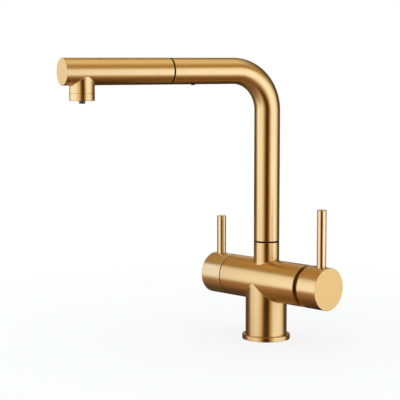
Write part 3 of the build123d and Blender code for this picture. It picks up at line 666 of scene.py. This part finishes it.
def stage_material(name):
    """Material with an empty node tree, which isn't used as a lamp."""
    material = bpy.data.materials.new(name)
    material.use_nodes = True
    material.cycles.emission_sampling = "NONE"
    material.node_tree.nodes.clear()
    return material, Nodes(material.node_tree)


def stage_piece(name, width, height, material):
    """Flat rectangle that belongs to the studio."""
    mesh = bpy.data.meshes.new(name)
    corners = [(x * width / 2, y * height / 2, 0) for x, y in ((-1, -1), (1, -1), (1, 1), (-1, 1))]
    mesh.from_pydata(corners, [], [(0, 1, 2, 3)])
    mesh.materials.append(material)
    piece = bpy.data.objects.new(name, mesh)
    scene.collection.objects.link(piece)
    return piece


def glow(name, steps, sideways):
    """Card paint that glows in stepped colours outwards from its middle, or to its two sides.

    The first step's colour also fills the middle, so a single step colours the whole card.
    """
    material, nodes = stage_material(name)
    place = nodes.add("TexCoord").outputs["Object"]
    distance = nodes.vector("LENGTH", nodes.vector("MULTIPLY", place, (1, 0 if sideways else 1, 0)))
    last = steps[-1][0]
    ramp = nodes.add("ValToRGB")
    stops = ramp.color_ramp.elements
    for index, (reach, colour) in enumerate(steps):
        stop = stops[index] if index < len(stops) else stops.new(1.0)
        stop.position = reach / last
        stop.color = (*colour, 1.0)
    nodes.wire(nodes.number("DIVIDE", distance, last), ramp.inputs[0])
    light = nodes.add("Emission")
    nodes.wire(ramp.outputs[0], light.inputs["Color"])
    nodes.wire(light.outputs[0], nodes.add("OutputMaterial").inputs[0])
    return material


def floor_paint(name):
    """Matt paint that keeps the shadow, and glows where the camera, metal or glass looks."""
    material, nodes = stage_material(name)
    matt = nodes.add("BsdfDiffuse")
    matt.inputs["Color"].default_value = (*floor_colour, 1.0)
    distance = nodes.vector("LENGTH", nodes.add("TexCoord").outputs["Object"])
    share = nodes.number("MULTIPLY", nodes.looked_at(), nodes.fit(distance, floor_fade, floor_glow))
    blend = nodes.add("MixShader")
    nodes.wire_all((share, matt.outputs[0], nodes.add("Emission").outputs[0]), blend.inputs)
    nodes.wire(blend.outputs[0], nodes.add("OutputMaterial").inputs[0])
    return material


def bearing(azimuth, distance, z):
    """Place at an azimuth round the tap: 0 is the front, 90 the mixer lever's side."""
    angle = math.radians(azimuth)
    return Vector((math.sin(angle) * distance, -math.cos(angle) * distance, z))


def softbox(azimuth, z, target_z, width, height, level):
    """Glowing panel that lights the object too."""
    place = bearing(azimuth, softbox_distance, z)
    bright = tuple(1.0 + level * channel for channel in softbox_colour)
    return Card(place, Vector((0, 0, target_z)) - place, width, height, [(1.0, bright)], lights=True)


# Studio: everything that the metal mirrors
orange_card_facing = -bearing(orange_azimuth, 1.0, 0.0)
end_card_facing = -bearing(end_azimuth, 1.0, -0.1)
studio = {
    "softbox_right": softbox(98, 0.115, 0.115, 1.20, 0.93, right_level),
    "softbox_left": softbox(-26, 0.16, 0.16, 1.14, 0.70, left_level),
    "softbox_high": softbox(-54, 0.62, 0.065, 0.60, 0.34, left_level),
    "card_camera": Card(
        Vector((0.573, -0.510, 0.1)), Vector((-0.19, 0.98, 0)), 0.92, 2.0, camera_steps, sideways=True
    ),
    "card_orange": Card(
        bearing(orange_azimuth, 1.12, 0.1), orange_card_facing, 0.84, 2.0, edge_steps, sideways=True
    ),
    "card_back": Card(Vector((-0.14, 0.9, 0.35)), -back, 1.32, 2.1, back_steps),
    "card_high": Card(Vector((-0.42, 0.28, 0.61)), right, 0.36, 0.18, back_steps),
    "card_tall": Card(Vector((-0.42, 0.03, 0.285)), right, 0.46, 0.17, back_steps),
    "card_left": Card(Vector((-0.42, 0.72, -0.245)), right, 2.2, 0.89, left_steps, sideways=True),
    "card_dark": Card(Vector((-0.41, 0.55, -0.24)), right, 0.60, 0.80, dark_steps),
    "card_warm": Card(Vector((-0.405, -0.46, -0.195)), right, 0.68, 0.15, warm_steps),
    "card_near": Card(Vector((-0.15, -0.165, -0.115)), right, 0.16, 0.11, near_steps),
    "card_low": Card(Vector((-0.41, -0.46, -0.385)), right, 0.68, 0.53, low_steps),
    "card_end": Card(bearing(end_azimuth, 1.1, -0.2), end_card_facing, 0.5, 0.36, end_steps),
    "card_below": Card(Vector((-0.3, 0.35, -0.7)), up, 4.8, 4.8, below_steps),
    "card_above": Card(Vector((0.2, 0.5, 1.5)), -up, 6.8, 6.8, above_steps),
}
for name, card in studio.items():
    piece = stage_piece(name, card.width, card.height, glow(name, card.steps, card.sideways))
    piece.location = card.place
    piece.rotation_mode = "QUATERNION"
    piece.rotation_quaternion = card.facing.to_track_quat("Z", "Y")
    piece.visible_camera = False
    piece.visible_diffuse = card.lights
    piece.visible_shadow = False

# White surroundings, softer as light
world = bpy.data.worlds.new("studio")
scene.world = world
world.use_nodes = True
world.cycles.sampling_method = "NONE"
nodes = Nodes(world.node_tree)
background = world.node_tree.nodes["Background"].inputs
background["Color"].default_value = (*white, 1.0)
nodes.wire(nodes.fit(nodes.looked_at(), (0.0, 1.0), (ambient_level, 1.0)), background["Strength"])

# Pale floor, which the metal doesn't mirror
floor = stage_piece("floor", floor_size, floor_size, floor_paint("floor_white"))
floor.visible_glossy = False

# Camera
lens = bpy.data.cameras.new("camera")
lens.lens = camera_lens
lens.sensor_width = camera_sensor
lens.clip_start = camera_near
lens.clip_end = camera_far
camera = bpy.data.objects.new("camera", lens)
camera.location = camera_place
camera.rotation_mode = "QUATERNION"
camera.rotation_quaternion = camera_forward.to_track_quat("-Z", "Y")
scene.collection.objects.link(camera)
scene.camera = camera
scene.view_settings.view_transform = "Standard"
